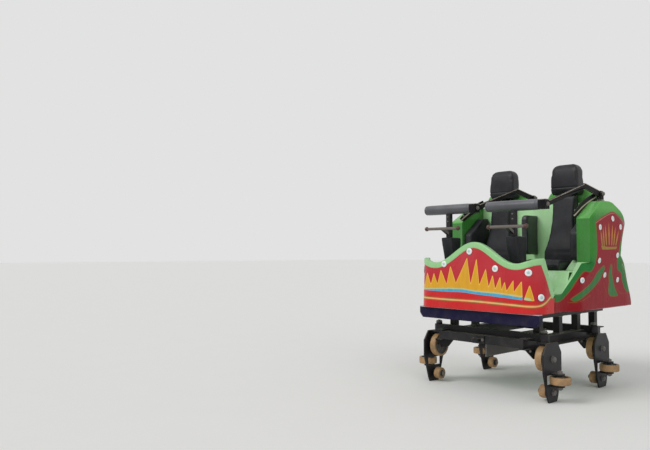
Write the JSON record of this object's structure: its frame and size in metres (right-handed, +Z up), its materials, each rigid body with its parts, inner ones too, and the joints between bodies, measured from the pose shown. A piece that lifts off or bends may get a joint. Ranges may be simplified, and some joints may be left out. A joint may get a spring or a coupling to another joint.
{
  "type": "roller coaster car",
  "caption": "Roller coaster car with a row of side-by-side seats, lifting rider restraints, a moulded body and swivelling wheel carriers for tubular rails.",
  "frame": {"origin": "centre of the bounding box at the ground under the wheel carriers", "axes": "+X is the rider's left, the front faces -Y, +Z is up"},
  "size_m": [1.269, 1.4, 1.718],
  "materials": {
    "dark_steel": "worn satin paint",
    "navy_paint": "satin paint",
    "pale_green_moulding": "gelcoat, slightly dulled",
    "green_moulding": "gelcoat, slightly dulled",
    "red_moulding": "gelcoat, slightly dulled",
    "tread": "cast polyurethane, scuffed",
    "black_cover": "moulded skin foam, satin"
  },
  "bodies": {
    "root": {"lower_frame": "dark_steel", "upper_frame": "dark_steel", "front_beam": "navy_paint", "brake_plate": "dark_steel", "tow_lug": "dark_steel", "rear_coupler": "dark_steel", "floor_pan": "pale_green_moulding", "front_cowl": "red_moulding", "cowl_rim": "green_moulding", "side_shell_left": "red_moulding", "side_shell_right": "red_moulding", "rear_shell": "green_moulding", "bench": "pale_green_moulding", "seat_pans": "black_cover", "seat_backs": "black_cover", "headrests": "black_cover", "side_bolsters": "black_cover", "centre_bolster": "black_cover", "pivot_brackets": "dark_steel", "wing_stays": "dark_steel"},
    "restraint_left": {"arm_left": "dark_steel", "roll_left": "black_cover", "handle_left": "dark_steel", "lap_pad_left": "black_cover"},
    "restraint_right": {"arm_right": "dark_steel", "roll_right": "black_cover", "handle_right": "dark_steel", "lap_pad_right": "black_cover"},
    "carrier_fl": {"carrier_fl": "dark_steel"},
    "run_wheel_fl": {"run_wheel_fl": "tread"},
    "guide_wheel_fl": {"guide_wheel_fl": "tread"},
    "stop_wheel_fl": {"stop_wheel_fl": "tread"},
    "carrier_fr": {"carrier_fr": "dark_steel"},
    "run_wheel_fr": {"run_wheel_fr": "tread"},
    "guide_wheel_fr": {"guide_wheel_fr": "tread"},
    "stop_wheel_fr": {"stop_wheel_fr": "tread"},
    "carrier_rl": {"carrier_rl": "dark_steel"},
    "run_wheel_rl": {"run_wheel_rl": "tread"},
    "guide_wheel_rl": {"guide_wheel_rl": "tread"},
    "stop_wheel_rl": {"stop_wheel_rl": "tread"},
    "carrier_rr": {"carrier_rr": "dark_steel"},
    "run_wheel_rr": {"run_wheel_rr": "tread"},
    "guide_wheel_rr": {"guide_wheel_rr": "tread"},
    "stop_wheel_rr": {"stop_wheel_rr": "tread"}
  },
  "joints": [
    {"name": "restraint_left_lift", "type": "hinge", "parent": "root", "child": "restraint_left", "pos_m": [0.529, 0.215, 1.464], "axis": [-1, 0, 0], "range_deg": [0, 75]},
    {"name": "restraint_right_lift", "type": "hinge", "parent": "root", "child": "restraint_right", "pos_m": [-0.031, 0.215, 1.464], "axis": [-1, 0, 0], "range_deg": [0, 75]},
    {"name": "carrier_fl_swivel", "type": "hinge", "parent": "root", "child": "carrier_fl", "pos_m": [0.45, -0.5, 0.4285], "axis": [0, 0, 1], "range_deg": [-12, 12]},
    {"name": "run_wheel_fl_spin", "type": "hinge", "parent": "carrier_fl", "child": "run_wheel_fl", "pos_m": [0.45, -0.5, 0.2895], "axis": [1, 0, 0], "continuous": true},
    {"name": "guide_wheel_fl_spin", "type": "hinge", "parent": "carrier_fl", "child": "guide_wheel_fl", "pos_m": [0.5645, -0.5, 0.155], "axis": [0, 0, 1], "continuous": true},
    {"name": "stop_wheel_fl_spin", "type": "hinge", "parent": "carrier_fl", "child": "stop_wheel_fl", "pos_m": [0.45, -0.5, 0.0655], "axis": [1, 0, 0], "continuous": true},
    {"name": "carrier_fr_swivel", "type": "hinge", "parent": "root", "child": "carrier_fr", "pos_m": [-0.45, -0.5, 0.4285], "axis": [0, 0, 1], "range_deg": [-12, 12]},
    {"name": "run_wheel_fr_spin", "type": "hinge", "parent": "carrier_fr", "child": "run_wheel_fr", "pos_m": [-0.45, -0.5, 0.2895], "axis": [1, 0, 0], "continuous": true},
    {"name": "guide_wheel_fr_spin", "type": "hinge", "parent": "carrier_fr", "child": "guide_wheel_fr", "pos_m": [-0.5645, -0.5, 0.155], "axis": [0, 0, 1], "continuous": true},
    {"name": "stop_wheel_fr_spin", "type": "hinge", "parent": "carrier_fr", "child": "stop_wheel_fr", "pos_m": [-0.45, -0.5, 0.0655], "axis": [1, 0, 0], "continuous": true},
    {"name": "carrier_rl_swivel", "type": "hinge", "parent": "root", "child": "carrier_rl", "pos_m": [0.45, 0.245, 0.4285], "axis": [0, 0, 1], "range_deg": [-12, 12]},
    {"name": "run_wheel_rl_spin", "type": "hinge", "parent": "carrier_rl", "child": "run_wheel_rl", "pos_m": [0.45, 0.245, 0.2895], "axis": [1, 0, 0], "continuous": true},
    {"name": "guide_wheel_rl_spin", "type": "hinge", "parent": "carrier_rl", "child": "guide_wheel_rl", "pos_m": [0.5645, 0.245, 0.155], "axis": [0, 0, 1], "continuous": true},
    {"name": "stop_wheel_rl_spin", "type": "hinge", "parent": "carrier_rl", "child": "stop_wheel_rl", "pos_m": [0.45, 0.245, 0.0655], "axis": [1, 0, 0], "continuous": true},
    {"name": "carrier_rr_swivel", "type": "hinge", "parent": "root", "child": "carrier_rr", "pos_m": [-0.45, 0.245, 0.4285], "axis": [0, 0, 1], "range_deg": [-12, 12]},
    {"name": "run_wheel_rr_spin", "type": "hinge", "parent": "carrier_rr", "child": "run_wheel_rr", "pos_m": [-0.45, 0.245, 0.2895], "axis": [1, 0, 0], "continuous": true},
    {"name": "guide_wheel_rr_spin", "type": "hinge", "parent": "carrier_rr", "child": "guide_wheel_rr", "pos_m": [-0.5645, 0.245, 0.155], "axis": [0, 0, 1], "continuous": true},
    {"name": "stop_wheel_rr_spin", "type": "hinge", "parent": "carrier_rr", "child": "stop_wheel_rr", "pos_m": [-0.45, 0.245, 0.0655], "axis": [1, 0, 0], "continuous": true}
  ]
}
